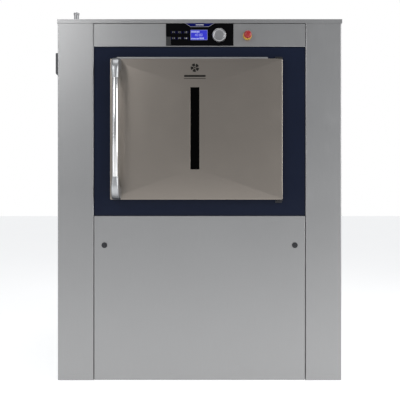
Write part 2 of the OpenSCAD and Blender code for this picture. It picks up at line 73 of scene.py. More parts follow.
def set_camera():
    """Eye level at half the machine's height, three metres in front of its face."""
    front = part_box("front_pillars")[0].y
    stand_off = 3.0
    half_view = 1.0
    eye_level = 0.9015
    data = bpy.data.cameras.new("camera")
    data.sensor_fit = "HORIZONTAL"
    data.angle = 2 * math.atan(half_view / stand_off)
    camera = bpy.data.objects.new("camera", data)
    camera.location = (2 * MM, front - stand_off, eye_level)
    camera.rotation_euler = (math.radians(90), 0, 0)
    bpy.context.scene.collection.objects.link(camera)
    bpy.context.scene.camera = camera


def set_world():
    """White behind the object; what the metal reflects is a grey that darkens upwards."""
    slope_start, slope_end = -0.2, 0.9
    low_strength, high_strength = 0.455, 0.28
    world = bpy.data.worlds.new("studio")
    bpy.context.scene.world = world
    world.use_nodes = True
    tree = world.node_tree
    tree.nodes.clear()
    seen = tree.nodes.new("ShaderNodeBackground")
    seen.inputs["Color"].default_value = (1, 1, 1, 1)
    lit = tree.nodes.new("ShaderNodeBackground")
    lit.inputs["Color"].default_value = (0.95, 0.97, 1.0, 1)
    sky = tree.nodes.new("ShaderNodeTexCoord")
    axes = tree.nodes.new("ShaderNodeSeparateXYZ")
    level = tree.nodes.new("ShaderNodeMapRange")
    for socket, value in zip(level.inputs[1:5], (slope_start, slope_end, low_strength, high_strength)):
        socket.default_value = value
    tree.links.new(sky.outputs["Generated"], axes.inputs[0])
    tree.links.new(axes.outputs["Z"], level.inputs["Value"])
    tree.links.new(level.outputs[0], lit.inputs["Strength"])
    path = tree.nodes.new("ShaderNodeLightPath")
    mix = tree.nodes.new("ShaderNodeMixShader")
    out = tree.nodes.new("ShaderNodeOutputWorld")
    tree.links.new(path.outputs["Is Camera Ray"], mix.inputs[0])
    tree.links.new(lit.outputs[0], mix.inputs[1])
    tree.links.new(seen.outputs[0], mix.inputs[2])
    tree.links.new(mix.outputs[0], out.inputs["Surface"])


set_camera()
set_world()
bpy.context.scene.view_settings.view_transform = "Standard"
softbox("key_left", (-2.0, -3.4, 3.0), (-0.6, -0.6, 1.7), 1.1, 1.6, 28)
softbox("strip_right", (2.5, -2.3, 2.0), (-0.4, -0.65, 1.3), 0.7, 2.8, 28)
softbox("side_right", (3.3, -0.9, 2.0), (-0.4, -0.7, 1.3), 1.2, 3.0, 40)
softbox("strip_left", (-2.7, -1.5, 1.6), (-0.4, -0.65, 1.3), 0.5, 3.0, 10)
softbox("overhead", (0, -0.2, 4.4), (0, 0, 0.9), 2.4, 2.4, 30)


# ---- Finishes ----

class Field:
    """A value over a surface. Arithmetic on it adds Math nodes."""

    def __init__(self, finish, socket):
        self.finish = finish
        self.socket = socket

    def math(self, operation, first, second):
        return self.finish.node("ShaderNodeMath", {"operation": operation}, {0: first, 1: second})

    def __add__(self, other):
        return self.math("ADD", self, other)

    __radd__ = __add__

    def __sub__(self, other):
        return self.math("SUBTRACT", self, other)

    def __rsub__(self, other):
        return self.math("SUBTRACT", other, self)

    def __mul__(self, other):
        return self.math("MULTIPLY", self, other)

    __rmul__ = __mul__


class Finish:
    """A material built from nodes; keyword constants go straight on the shader's sockets."""

    def __init__(self, name, constants):
        self.material = bpy.data.materials.new(name)
        self.material.use_nodes = True
        self.tree = self.material.node_tree
        self.shader = self.tree.nodes["Principled BSDF"]
        for socket, value in constants.items():
            self.shader.inputs[socket].default_value = value
        self.place = self.node("ShaderNodeTexCoord", {}, {}, "Object")

    def node(self, kind, settings, sockets, output=0):
        """Any node: settings first, then the values or links of its sockets."""
        node = self.tree.nodes.new(kind)
        for key, value in settings.items():
            setattr(node, key, value)
        for key, value in sockets.items():
            if isinstance(value, Field):
                self.tree.links.new(value.socket, node.inputs[key])
            else:
                node.inputs[key].default_value = value
        return Field(self, node.outputs[output])

    def noise(self, scale, detail=2.0, roughness=0.5, stretch=(1, 1, 1)):
        """Noise from 0 to 1 whose grain is long where stretch is small."""
        spot = self.node("ShaderNodeMapping", {}, {"Vector": self.place, "Scale": stretch})
        settings = {"Vector": spot, "Scale": scale, "Detail": detail, "Roughness": roughness}
        return self.node("ShaderNodeTexNoise", {"noise_dimensions": "3D"}, settings, "Fac")

    def blend(self, amount, first, second):
        """Colour that goes from first to second as amount goes from 0 to 1."""
        sockets = {"Factor": amount, 6: first, 7: second}
        return self.node("ShaderNodeMix", {"data_type": "RGBA"}, sockets, 2)

    def clamp(self, value, low, high):
        """0 below low, 1 above high, straight between."""
        sockets = {"Value": value, "From Min": low, "From Max": high}
        return self.node("ShaderNodeMapRange", {"clamp": True}, sockets)

    def feed(self, socket, value):
        self.tree.links.new(value.socket, self.shader.inputs[socket])

    def bump(self, height, strength, distance):
        sockets = {"Height": height, "Strength": strength, "Distance": distance}
        self.feed("Normal", self.node("ShaderNodeBump", {}, sockets, "Normal"))


def shade(colour, factor):
    """An opaque colour, scaled."""
    return (*[min(1.0, c * factor) for c in colour], 1.0)


def brushed(name, colour, roughness, grain, mottle=0.06):
    """Brushed sheet: fine lines along one axis, slow cloudiness, faint handling marks."""
    f = Finish(name, {"Metallic": 1.0})
    stretch = {"X": (0.01, 1, 1), "Y": (1, 0.01, 1), "Z": (1, 1, 0.01)}[grain]
    lines = f.noise(900, 3, 0.6, stretch)
    fine = f.noise(2600, 2, 0.6, stretch)
    cloud = f.noise(2.2, 3, 0.55)
    marks = f.clamp(f.noise(9, 5, 0.65), 0.56, 0.80)
    tone = lines * 0.5 + fine * 0.2 + cloud * 0.3
    f.feed("Base Color", f.blend(tone, shade(colour, 1 - 2 * mottle), shade(colour, 1 + 2 * mottle)))
    f.feed("Roughness", roughness + (lines - 0.5) * 0.10 + (cloud - 0.5) * 0.06 + marks * 0.04)
    f.bump(lines * 0.7 + fine * 0.3, 0.06, 0.0004)
    return f.material


def painted(name, colour, roughness, peel=0.05, fleck=0.05):
    """Powder coat: slight orange peel and worn tone."""
    f = Finish(name, {})
    peel_noise = f.noise(420, 2)
    cloud = f.noise(6, 4, 0.6)
    f.feed("Base Color", f.blend(cloud, shade(colour, 1 - 2 * fleck), shade(colour, 1 + 2 * fleck)))
    f.feed("Roughness", roughness + (cloud - 0.5) * 0.12)
    f.bump(peel_noise, peel, 0.0006)
    return f.material


def galvanised(name, colour):
    """Zinc spangle: flat crystals of slightly different tone."""
    f = Finish(name, {"Metallic": 0.9})
    sockets = {"Vector": f.place, "Scale": 55.0}
    crystals = f.node("ShaderNodeTexVoronoi", {"feature": "F1"}, sockets, "Color")
    level = f.node("ShaderNodeSeparateColor", {}, {0: crystals}, 0)
    cloud = f.noise(5, 4)
    f.feed("Base Color", f.blend(level * 0.6 + cloud * 0.4, shade(colour, 0.78), shade(colour, 1.15)))
    f.feed("Roughness", 0.34 + level * 0.16)
    return f.material


def moulded(name, colour, roughness, grain=0.08, constants=None):
    """Moulded plastic or rubber with a fine grain."""
    f = Finish(name, constants or {})
    dimples = f.noise(1500, 2)
    cloud = f.noise(30, 3)
    f.feed("Base Color", f.blend(cloud, shade(colour, 0.9), shade(colour, 1.1)))
    f.feed("Roughness", roughness + (cloud - 0.5) * 0.08)
    f.bump(dimples, grain, 0.0003)
    return f.material


def polished(name, colour, roughness):
    """Polished tube: nearly even, with faint lengthwise haze."""
    f = Finish(name, {"Metallic": 1.0})
    haze = f.noise(700, 2, 0.5, (1, 1, 0.02))
    cloud = f.noise(14, 3)
    f.feed("Base Color", f.blend(cloud, shade(colour, 0.97), shade(colour, 1.02)))
    f.feed("Roughness", roughness + haze * 0.03 + cloud * 0.02)
    return f.material


def glossy_panel(name, colour):
    """Dark lacquered panel, slightly wavy so that reflections run in soft diagonal streaks."""
    f = Finish(name, {"Specular IOR Level": 0.16})
    waves = f.noise(5, 2, 0.5, (1, 1, 3.5))
    cloud = f.noise(3, 3)
    f.feed("Base Color", f.blend(cloud, shade(colour, 0.85), shade(colour, 1.15)))
    f.feed("Roughness", 0.12 + waves * 0.10)
    f.bump(waves, 0.12, 0.004)
    return f.material


def lit_screen(name, colour):
    """Backlit display film with a slightly uneven glow."""
    f = Finish(name, {"Roughness": 0.25, "Emission Strength": 0.8})
    glow = f.noise(40, 2)
    f.feed("Base Color", f.blend(glow, shade(colour, 0.12), shade(colour, 0.16)))
    f.feed("Emission Color", f.blend(glow, shade(colour, 0.85), shade(colour, 1.15)))
    return f.material


finishes = {
    "stainless": brushed("stainless", (0.368, 0.368, 0.370), 0.40, "Z"),
    "door_steel": brushed("door_steel", (0.291, 0.261, 0.231), 0.34, "X", mottle=0.03),
    "galvanised": galvanised("galvanised", (0.46, 0.48, 0.50)),
    "frame_paint": painted("frame_paint", (0.17, 0.18, 0.19), 0.45),
    "navy_panel": glossy_panel("navy_panel", (0.0068, 0.0104, 0.0250)),
    "dark_plastic": moulded("dark_plastic", (0.06, 0.062, 0.066), 0.5),
    "box_paint": painted("box_paint", (0.55, 0.56, 0.57), 0.4),
    "conduit": brushed("conduit", (0.40, 0.40, 0.41), 0.42, "Z"),
    "dark_steel": brushed("dark_steel", (0.06, 0.06, 0.065), 0.3, "X"),
    "seal_rubber": moulded("seal_rubber", (0.02, 0.02, 0.02), 0.7),
    "smoked_glass": moulded("smoked_glass", (0.001, 0.001, 0.001), 0.12, 0.0, {"Specular IOR Level": 0.02}),
    "handle_polish": polished("handle_polish", (0.70, 0.70, 0.70), 0.16),
    "handle_cast": brushed("handle_cast", (0.44, 0.45, 0.46), 0.38, "Z"),
    "drum_steel": brushed("drum_steel", (0.60, 0.61, 0.62), 0.25, "Y"),
    "shaft_steel": brushed("shaft_steel", (0.40, 0.41, 0.42), 0.3, "X"),
    "machine_blue": painted("machine_blue", (0.05, 0.08, 0.12), 0.4),
    "cast_iron": painted("cast_iron", (0.16, 0.16, 0.17), 0.5, 0.2),
    "belt_rubber": moulded("belt_rubber", (0.015, 0.015, 0.015), 0.75),
    "heater_metal": galvanised("heater_metal", (0.52, 0.53, 0.54)),
    "element_sheath": brushed("element_sheath", (0.12, 0.09, 0.07), 0.5, "X"),
    "lint_metal": brushed("lint_metal", (0.45, 0.47, 0.50), 0.4, "X"),
    "fascia_black": moulded("fascia_black", (0.002, 0.002, 0.0025), 0.2, 0.0, {"Specular IOR Level": 0.05}),
    "display_blue": lit_screen("display_blue", (0.028, 0.032, 0.60)),
    "badge_film": moulded("badge_film", (0.002, 0.004, 0.075), 0.3, 0.0, {"Specular IOR Level": 0.1}),
    "key_black": moulded("key_black", (0.003, 0.003, 0.0035), 0.5, 0.05, {"Specular IOR Level": 0.1}),
    "knob_silver": brushed("knob_silver", (0.38, 0.38, 0.39), 0.35, "Y"),
    "stop_yellow": moulded("stop_yellow", (0.45, 0.26, 0.03), 0.4, 0.02),
    "stop_red": moulded("stop_red", (0.30, 0.014, 0.016), 0.35, 0.02),
    "stop_stem": moulded("stop_stem", (0.07, 0.07, 0.07), 0.5),
    "print_white": moulded("print_white", (0.55, 0.55, 0.56), 0.5, 0.0),
    "lit_white": lit_screen("lit_white", (0.42, 0.46, 0.85)),
    "port_grey": moulded("port_grey", (0.012, 0.012, 0.013), 0.45),
    "trim_silver": brushed("trim_silver", (0.42, 0.42, 0.44), 0.30, "X"),
    "inlay_dark": brushed("inlay_dark", (0.035, 0.033, 0.030), 0.35, "X"),
}


def paint_cad_nodes():
    """Every carried-over CAD node takes the finish of its record slot."""
    for part in frame["record"]["subparts"]:
        node = frame["nodes"][part["node"]]
        node.data.materials.clear()
        node.data.materials.append(finishes[part["material_slot"]])


paint_cad_nodes()


# ---- Making pieces ----

class Shape:
    """A mesh under construction, in metres, in the machine's frame."""

    def __init__(self):
        self.mesh = bmesh.new()

    def block(self, low, high, turn=None):
        """Box between two corners, turned about its middle if asked."""
        low, high = Vector(low), Vector(high)
        place = Matrix.Translation((low + high) / 2)
        if turn is not None:
            place = place @ turn
        size = Matrix.Diagonal((*(high - low), 1))
        bmesh.ops.create_cube(self.mesh, size=1.0, matrix=place @ size)
        return self

    def rod(self, start, end, radius):
        """Plain round bar between two points."""
        start, end = Vector(start), Vector(end)
        turn = (end - start).to_track_quat("Z", "Y").to_matrix().to_4x4()
        place = Matrix.Translation((start + end) / 2) @ turn
        bmesh.ops.create_cone(
            self.mesh, cap_ends=True, segments=24, radius1=radius, radius2=radius,
            depth=(end - start).length, matrix=place,
        )
        return self

    def rings(self, rings, caps=True):
        """Skin over rings of points that all have the same count."""
        rows = [[self.mesh.verts.new(p) for p in ring] for ring in rings]
        count = len(rows[0])
        for near, far in zip(rows, rows[1:]):
            for i in range(count):
                j = (i + 1) % count
                self.mesh.faces.new((near[i], near[j], far[j], far[i]))
        if caps:
            self.mesh.faces.new(rows[0][::-1])
            self.mesh.faces.new(rows[-1])
        return self

    def lathe(self, centre, profile, facing="-Y", sides=64, flutes=0, flute_depth=0.0, fluted=()):
        """Turned piece: profile is (radius, height) pairs, height along the facing direction."""
        towards = {"-Y": (0, -1, 0), "+Y": (0, 1, 0), "-X": (-1, 0, 0), "+X": (1, 0, 0), "+Z": (0, 0, 1)}
        turn = Vector(towards[facing]).to_track_quat("Z", "Y").to_matrix()
        rings = []
        for index, (radius, height) in enumerate(profile):
            ring = []
            for i in range(sides):
                angle = 2 * math.pi * i / sides
                r = radius
                if index in fluted:
                    r += flute_depth * math.cos(flutes * angle)
                spot = Vector((r * math.cos(angle), r * math.sin(angle), height))
                ring.append(Vector(centre) + turn @ spot)
            rings.append(ring)
        return self.rings(rings)

    def prism(self, outline, y_front, y_back):
        """Outline of (x, z) points, run from one depth to another."""
        front = [Vector((x, y_front, z)) for x, z in outline]
        back = [Vector((x, y_back, z)) for x, z in outline]
        return self.rings([front, back])

    def sweep(self, path, radius, sides):
        """Round bar along an open path of points."""
        points = [Vector(p) for p in path]
        count = len(points)
        rings = []
        normal = None
        for i, point in enumerate(points):
            along = points[min(i + 1, count - 1)] - points[max(i - 1, 0)]
            along.normalize()
            if normal is None:
                normal = along.orthogonal().normalized()
            normal = (normal - along * normal.dot(along)).normalized()
            side = along.cross(normal)
            rings.append([
                point + radius * (math.cos(a) * normal + math.sin(a) * side)
                for a in (2 * math.pi * k / sides for k in range(sides))
            ])
        return self.rings(rings)

    def finish(self, name, body, slot, replaced=(), edge=0.0, thickness=0.0, sharp=35):
        """Turns the shape into a piece that rides on a body and may stand for CAD nodes."""
        bmesh.ops.recalc_face_normals(self.mesh, faces=self.mesh.faces)
        data = bpy.data.meshes.new(name)
        self.mesh.to_mesh(data)
        self.mesh.free()
        piece = bpy.data.objects.new(name, data)
        bpy.context.scene.collection.objects.link(piece)
        data.materials.append(finishes[slot])
        for polygon in data.polygons:
            polygon.use_smooth = True
        data.set_sharp_from_angle(angle=math.radians(sharp))
        if thickness:
            solid = piece.modifiers.new("thickness", "SOLIDIFY")
            solid.thickness = thickness
            solid.offset = 0
        if edge:
            bevel = piece.modifiers.new("edge", "BEVEL")
            bevel.width = edge
            bevel.segments = 2
            bevel.limit_method = "ANGLE"
            bevel.angle_limit = math.radians(30)
            bevel.harden_normals = True
        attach(piece, body)
        if replaced:
            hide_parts(*replaced)


def arc(cx, cz, radius, start, end, steps):
    """Points (x, z) along an arc; angles in degrees."""
    angles = [math.radians(start + (end - start) * i / steps) for i in range(steps + 1)]
    return [(cx + radius * math.cos(a), cz + radius * math.sin(a)) for a in angles]


def round_rectangle(x0, z0, x1, z1, radius, steps=8):
    """Outline of a rectangle with round corners."""
    corners = [(x1 - radius, z1 - radius, 0), (x0 + radius, z1 - radius, 90),
               (x0 + radius, z0 + radius, 180), (x1 - radius, z0 + radius, 270)]
    return [p for cx, cz, start in corners for p in arc(cx, cz, radius, start, start + 90, steps)]


def middle(node):
    """Centre of a node's box."""
    low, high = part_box(node)
    return (low + high) / 2


# ---- Handle ----

def handle_end(shape, up):
    """Cast end that grows out of the tube, bends back and widens into its foot on the door."""
    low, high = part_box("handle_brackets")
    door_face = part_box("door_skin")[0].y
    axis = middle("handle_tube")
    tube_low, tube_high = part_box("handle_tube")
    r = (tube_high.x - tube_low.x) / 2 + 1 * MM
    end = (high.z - low.z) / 2
    start = (tube_high.z - tube_low.z) / 2
    reach = door_face - axis.y
    foot_x = (low.x + high.x) / 2
    outer_rise, inner_rise = 72 * MM, 41 * MM
    shoulder = 8 * MM
    steps = 16
    pairs = [((-reach - r + 1 * MM, start), (-reach + r - 1 * MM, start)),
             ((-reach - r, start + 0.6 * MM), (-reach + r, start + 0.6 * MM))]
    for i in range(steps + 1):
        turn = math.radians(90) * i / steps
        outer = (-(reach + r) * math.cos(turn), end - outer_rise + outer_rise * math.sin(turn))
        inner = (-(reach - r) * math.cos(turn), start + shoulder + inner_rise * math.sin(turn) ** 1.2)
        pairs.append((outer, inner))
    rings = []
    sides = 48
    for index, (outer, inner) in enumerate(pairs):
        # Share of the way from the tube to the foot; the section turns from round to square
        share = max(0.0, (index - 1) / (len(pairs) - 2)) ** 0.7
        corner_power = 1.0 - 0.76 * share ** 0.6
        mid = Vector((0, (outer[0] + inner[0]) / 2, (outer[1] + inner[1]) / 2))
        span = Vector((0, outer[0] - inner[0], outer[1] - inner[1])) / 2
        width = r - 0.2 * MM + share * (high.x - low.x - 2 * r) / 2
        if index == 0:
            width -= 0.8 * MM
        centre_x = axis.x + (foot_x - axis.x) * share
        ring = []
        for k in range(sides):
            angle = 2 * math.pi * k / sides
            c = math.copysign(abs(math.cos(angle)) ** corner_power, math.cos(angle))
            d = math.copysign(abs(math.sin(angle)) ** corner_power, math.sin(angle))
            point = mid + span * d
            ring.append(Vector((centre_x + width * c, door_face + point.y, axis.z + up * point.z)))
        rings.append(ring)
    return shape.rings(rings)


def make_handle():
    """Polished tube with soft ends, held by a cast end at the top and one at the bottom."""
    shape = Shape()
    handle_end(shape, 1)
    handle_end(shape, -1)
    shape.finish("handle_end_castings", "door", "handle_cast", ["handle_brackets"], edge=0.8 * MM, sharp=50)
    low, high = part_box("handle_tube")
    axis = middle("handle_tube")
    r = (high.x - low.x) / 2
    profile = [(r - 2.5 * MM, 0), (r - 0.6 * MM, 0), (r, 1 * MM)]
    length = high.z - low.z
    profile += [(r, length - 1 * MM), (r - 0.6 * MM, length), (r - 2.5 * MM, length)]
    tube = Shape().lathe((axis.x, axis.y, low.z), profile, "+Z", 72)
    tube.finish("handle_bar", "door", "handle_polish", ["handle_tube"])


make_handle()


# ---- Controls ----

def make_knob():
    """Flat turned knob with a ribbed rim, a chamfer, a dished face and a blind bore for its shaft."""
    low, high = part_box("knob")
    centre = middle("knob")
    r = (high.x - low.x) / 2
    deep = high.y - low.y
    drawn_r, drawn_deep = 35, 12
    profile = [
        (4.3, 9.7), (4.3, 0), (34.2, 0), (35, 0.8), (35, 2.5), (34.4, 3.1), (34.3, 4.0), (33.6, 7.8),
        (32.9, 9.6), (31.2, 11.2), (29, 12), (26.6, 12), (25.5, 11.6), (24.4, 10.7), (22, 10.4),
        (12, 10.3), (1, 10.3),
    ]
    points = [(x * r / drawn_r, z * deep / drawn_deep) for x, z in profile]
    knob = Shape().lathe((centre.x, high.y, centre.z), points, "-Y", 288, 72, 0.22 * MM, (6, 7))
    knob.finish("selector_knob", "knob", "knob_silver", ["knob"])
    half = 0.9 * MM
    start, end = centre.z + 27 * MM, centre.z + 31 * MM
    mark = round_rectangle(centre.x - half, start, centre.x + half, end, 0.8 * MM, 3)
    pointer = Shape().prism(mark, low.y - 0.05 * MM, low.y + 3 * MM)
    pointer.finish("knob_pointer", "knob", "fascia_black")


def make_emergency_stop():
    """Mushroom head with two raised arcs that show it twists, over a turned collar."""
    low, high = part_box("stop_head")
    centre = middle("stop_head")
    r = (high.x - low.x) / 2
    deep = high.y - low.y
    profile = [
        (8.4 * MM, 0), (r - 3.5 * MM, 0), (r - 2.5 * MM, 1.5 * MM), (r - 0.8 * MM, 4 * MM), (r, 6 * MM),
        (r, 8.5 * MM), (r - 0.9 * MM, 11.5 * MM), (r - 3 * MM, 14.2 * MM), (r - 6.5 * MM, 16.6 * MM),
        (r - 11 * MM, deep - 0.5 * MM), (r - 15 * MM, deep), (0.5 * MM, deep),
    ]
    head = Shape().lathe((centre.x, high.y, centre.z), profile, "-Y", 96)
    for start in (20, 200):
        ring = arc(centre.x, centre.z, 11 * MM, start, start + 110, 14)
        head.sweep([(x, low.y + 1.2 * MM, z) for x, z in ring], 0.9 * MM, 8)
    head.finish("stop_button", "stop_head", "stop_red", ["stop_head"])
    low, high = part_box("stop_collar")
    centre = middle("stop_collar")
    r = (high.x - low.x) / 2
    deep = high.y - low.y
    bore = 9 * MM
    profile = [
        (bore, 0), (r, 0), (r, deep - 5 * MM), (r - 1.5 * MM, deep - 1.5 * MM), (r - 4 * MM, deep),
        (bore, deep),
    ]
    ring = Shape().lathe((centre.x, high.y, centre.z), profile, "-Y", 96)
    ring.finish("stop_ring", "root", "stop_yellow", ["stop_collar"])


# Strokes of the numerals and signs, on a grid one wide and two high
STROKES = {
    "0": [[(0, 0), (1, 0), (1, 2), (0, 2), (0, 0)]],
    "1": [[(0.2, 1.6), (0.6, 2), (0.6, 0)]],
    "2": [[(0, 1.6), (0.3, 2), (0.8, 2), (1, 1.5), (0, 0), (1, 0)]],
    "3": [[(0, 2), (1, 2), (0.5, 1.2), (0.9, 0.9), (0.9, 0.3), (0.5, 0), (0, 0.2)]],
    "4": [[(0.7, 0), (0.7, 2), (0, 0.7), (1, 0.7)]],
    "5": [[(1, 2), (0.1, 2), (0.1, 1.2), (0.7, 1.2), (1, 0.8), (0.9, 0.2), (0.5, 0), (0, 0.2)]],
    ":": [[(0.5, 0.5), (0.5, 0.7)], [(0.5, 1.3), (0.5, 1.5)]],
    "ring": [arc(0.5, 1.0, 0.75, 0, 360, 16), arc(0.5, 1.0, 0.25, 0, 360, 10)],
}


def draw(shape, sign, x, z, height, thick, y):
    """Adds a sign made of thin round strokes lying on a face."""
    unit = height / 2
    narrowing = 0.9
    for stroke in STROKES[sign]:
        points = [(x + px * unit * narrowing, y, z + pz * unit) for px, pz in stroke]
        shape.sweep(points, thick / 2, 6)


def make_key_marks():
    """A dash on every key, beside a numeral on five of them and a ring on the sixth."""
    for number, sign in enumerate(("1", "2", "3", "4", "5", "ring"), start=1):
        low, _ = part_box(f"key_{number}")
        centre = middle(f"key_{number}")
        shape = Shape()
        draw(shape, sign, centre.x + 0.8 * MM, centre.z - 3.6 * MM, 7.2 * MM, 1.1 * MM, low.y)
        shape.block((centre.x - 5.6 * MM, low.y - 0.25 * MM, centre.z - 2.6 * MM),
                    (centre.x - 4.6 * MM, low.y + 0.3 * MM, centre.z + 2.6 * MM))
        shape.finish(f"key_{number}_mark", f"key_{number}", "print_white", sharp=60)


def make_display_signs():
    """White digits and bars of the lit screen: a heading of blocks, a time and a row of blocks."""
    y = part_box("display")[0].y
    left, right = -44.8 * MM, 38.8 * MM
    bottom, top = 1701.2 * MM, 1750.8 * MM
    heading_widths = (5, 4.5, 5, 4.5, 2, 6, 5)
    row_sizes = ((6, 6), (5, 5), (6, 5), (4, 5), (6, 5), (3, 5), (2, 8), (6, 8), (6, 8), (5, 8))
    shape = Shape()
    x = left + 3.5 * MM
    for width in heading_widths:
        shape.block((x, y - 0.2 * MM, top - 13 * MM), (x + width * MM, y + 0.2 * MM, top - 5 * MM))
        x += (width + 1.4) * MM
    x = left + 22 * MM
    for sign in "40:00":
        draw(shape, sign, x, bottom + 19 * MM, 12 * MM, 1.5 * MM, y)
        x += (5 if sign == ":" else 8.5) * MM
    x = left + 3.5 * MM
    foot = bottom + 4 * MM
    for width, tall in row_sizes:
        shape.block((x, y - 0.2 * MM, foot), (x + width * MM, y + 0.2 * MM, foot + tall * MM))
        x += (width + 1.5) * MM
    line = 1 * MM
    frame_lines = (
        (left, bottom, left + line, top), (right - line, bottom, right, top),
        (left, bottom, right, bottom + line), (left, top - line, right, top),
    )
    for x0, z0, x1, z1 in frame_lines:
        shape.block((x0, y - 0.25 * MM, z0), (x1, y + 0.1 * MM, z1))
    shape.finish("display_signs", "root", "lit_white")


def make_badge_trim():
    """Bright line round the lower edges of the badge and a blank bar across it."""
    low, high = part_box("badge_plate")
    slope = 27.5 * MM
    y = low.y
    corners = [(low.x, high.z), (low.x + slope, low.z), (high.x - slope, low.z), (high.x, high.z)]
    trim = Shape().sweep([(x, y + 0.2 * MM, z) for x, z in corners], 1.1 * MM, 8)
    trim.finish("badge_trim", "root", "trim_silver")
    x = (low.x + high.x) / 2
    z = (low.z + high.z) / 2 + 0.5 * MM
    outline = round_rectangle(x - 20 * MM, z - 1.6 * MM, x + 20 * MM, z + 1.6 * MM, 1.5 * MM)
    Shape().prism(outline, y - 0.2 * MM, y).finish("badge_bar", "root", "print_white")


def make_port_flap():
    """Small hinged cover at the lower corner of the fascia, with three finger ribs."""
    low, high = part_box("port_cover")
    barrel = low.x + 1.2 * MM
    y = (low.y + high.y) / 2
    gap = 0.3 * MM
    shape = Shape().block((barrel + 0.6 * MM, low.y, low.z + gap), (high.x, high.y, high.z - gap))
    shape.rod((barrel, y, low.z), (barrel, y, high.z), 1.15 * MM)
    for step in range(3):
        z = low.z + (8 + step * 3) * MM
        start = (high.x - 13 * MM, low.y - 0.25 * MM, z)
        shape.block(start, (high.x - 5 * MM, low.y + 0.5 * MM, z + 1 * MM))
    shape.finish("port_flap", "port_cover", "port_grey", ["port_cover"], edge=0.5 * MM)


make_knob()
make_emergency_stop()
make_key_marks()
make_display_signs()
make_badge_trim()
make_port_flap()


# ---- Door ----

def make_door_tray():
    """Folded door tray with soft front edges and the sight slot cut through its face."""
    low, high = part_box("door_skin")
    glass_low, glass_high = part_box("sight_glass")
    margin = 10 * MM
    soft = 4.5 * MM
    sheet = 2 * MM
    outside, inside = 6 * MM, 4 * MM

    def outline(inset, y, corner):
        points = round_rectangle(low.x + inset, low.z + inset, high.x - inset, high.z - inset, corner, 6)
        return [Vector((x, y, z)) for x, z in points]

    def slot(grow, y):
        points = round_rectangle(glass_low.x + margin - grow, glass_low.z + margin - grow,
                                 glass_high.x - margin + grow, glass_high.z - margin + grow, 0.8 * MM, 6)
        return [Vector((x, y, z)) for x, z in points]

    rings = [slot(0, low.y + sheet), slot(0, low.y + 0.5 * MM), slot(0.5 * MM, low.y)]
    for step in range(7):
        turn = math.radians(90) * step / 6
        rings.append(outline(soft * (1 - math.sin(turn)), low.y + soft * (1 - math.cos(turn)), outside))
    rings += [outline(0, high.y, outside), outline(sheet, high.y, inside)]
    rings += [outline(sheet, low.y + soft, inside), outline(soft, low.y + sheet, inside)]
    rings.append(slot(0, low.y + sheet))
    shape = Shape().rings(rings, caps=False)
    bmesh.ops.remove_doubles(shape.mesh, verts=shape.mesh.verts, dist=1e-7)
    shape.finish("door_tray", "door", "door_steel", ["door_skin"], sharp=28)


def make_gasket():
    """Bulb seal: a round hollow lip that runs round the load opening on the door's inner face."""
    low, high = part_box("door_gasket")
    half = 10 * MM
    bend = 168 * MM
    path = round_rectangle(low.x + half, low.z + half, high.x - half, high.z - half, bend, 24)
    deep = high.y - low.y
    drawn_deep = 5.5
    profile = [
        (-10, 0), (10, 0), (10, 1.2), (4.6, 1.4), (4.9, 2.8), (3.6, 4.5), (1.6, 5.4), (-1.6, 5.4),
        (-3.6, 4.5), (-4.9, 2.8), (-4.6, 1.4), (-10, 1.2),
    ]
    rings = []
    centre = Vector(((low.x + high.x) / 2, (low.z + high.z) / 2))
    for offset, height in profile:
        ring = []
        for index, (x, z) in enumerate(path):
            near = Vector(path[index - 1])
            far = Vector(path[(index + 1) % len(path)])
            along = (far - near).normalized()
            out = Vector((along.y, -along.x))
            if out.dot(Vector((x, z)) - centre) < 0:
                out = -out
            spot = Vector((x, z)) + out * offset * MM
            ring.append(Vector((spot.x, low.y + height / drawn_deep * deep, spot.y)))
        rings.append(ring)
    rings.append(rings[0])
    shape = Shape().rings(rings, caps=False)
    bmesh.ops.remove_doubles(shape.mesh, verts=shape.mesh.verts, dist=1e-7)
    shape.finish("bulb_seal", "door", "seal_rubber", ["door_gasket"], sharp=50)


make_door_tray()
make_gasket()


# ---- Door marks ----

def make_door_emblem():
    """Generic sign of a fan wheel with a plain bar below, as thin dark inlays."""
    door_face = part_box("door_skin")[0].y
    slot_low, slot_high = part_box("sight_glass")
    x = (slot_low.x + slot_high.x) / 2
    z = slot_high.z + 86 * MM
    blades, sweep, lean = 5, 52, 12
    half = 54 * MM
    outlines = []
    for blade in range(blades):
        start = 90 + 360 * blade / blades
        outer = arc(x, z, 21 * MM, start, start + sweep, 8)
        inner = arc(x, z, 7 * MM, start + sweep, start - lean, 8)
        outlines.append(outer + inner)
    outlines.append(arc(x, z, 4 * MM, 0, 345, 23))
    outlines.append(round_rectangle(x - half, z - 46 * MM, x + half, z - 36 * MM, 4.9 * MM))
    outlines.append(round_rectangle(x - half, z - 55 * MM, x + half, z - 52.5 * MM, 1.2 * MM))
    shape = Shape()
    for outline in outlines:
        shape.prism(outline, door_face - 0.3 * MM, door_face)
    shape.finish("door_emblem", "door", "inlay_dark")


make_door_emblem()


# ---- Inside ----

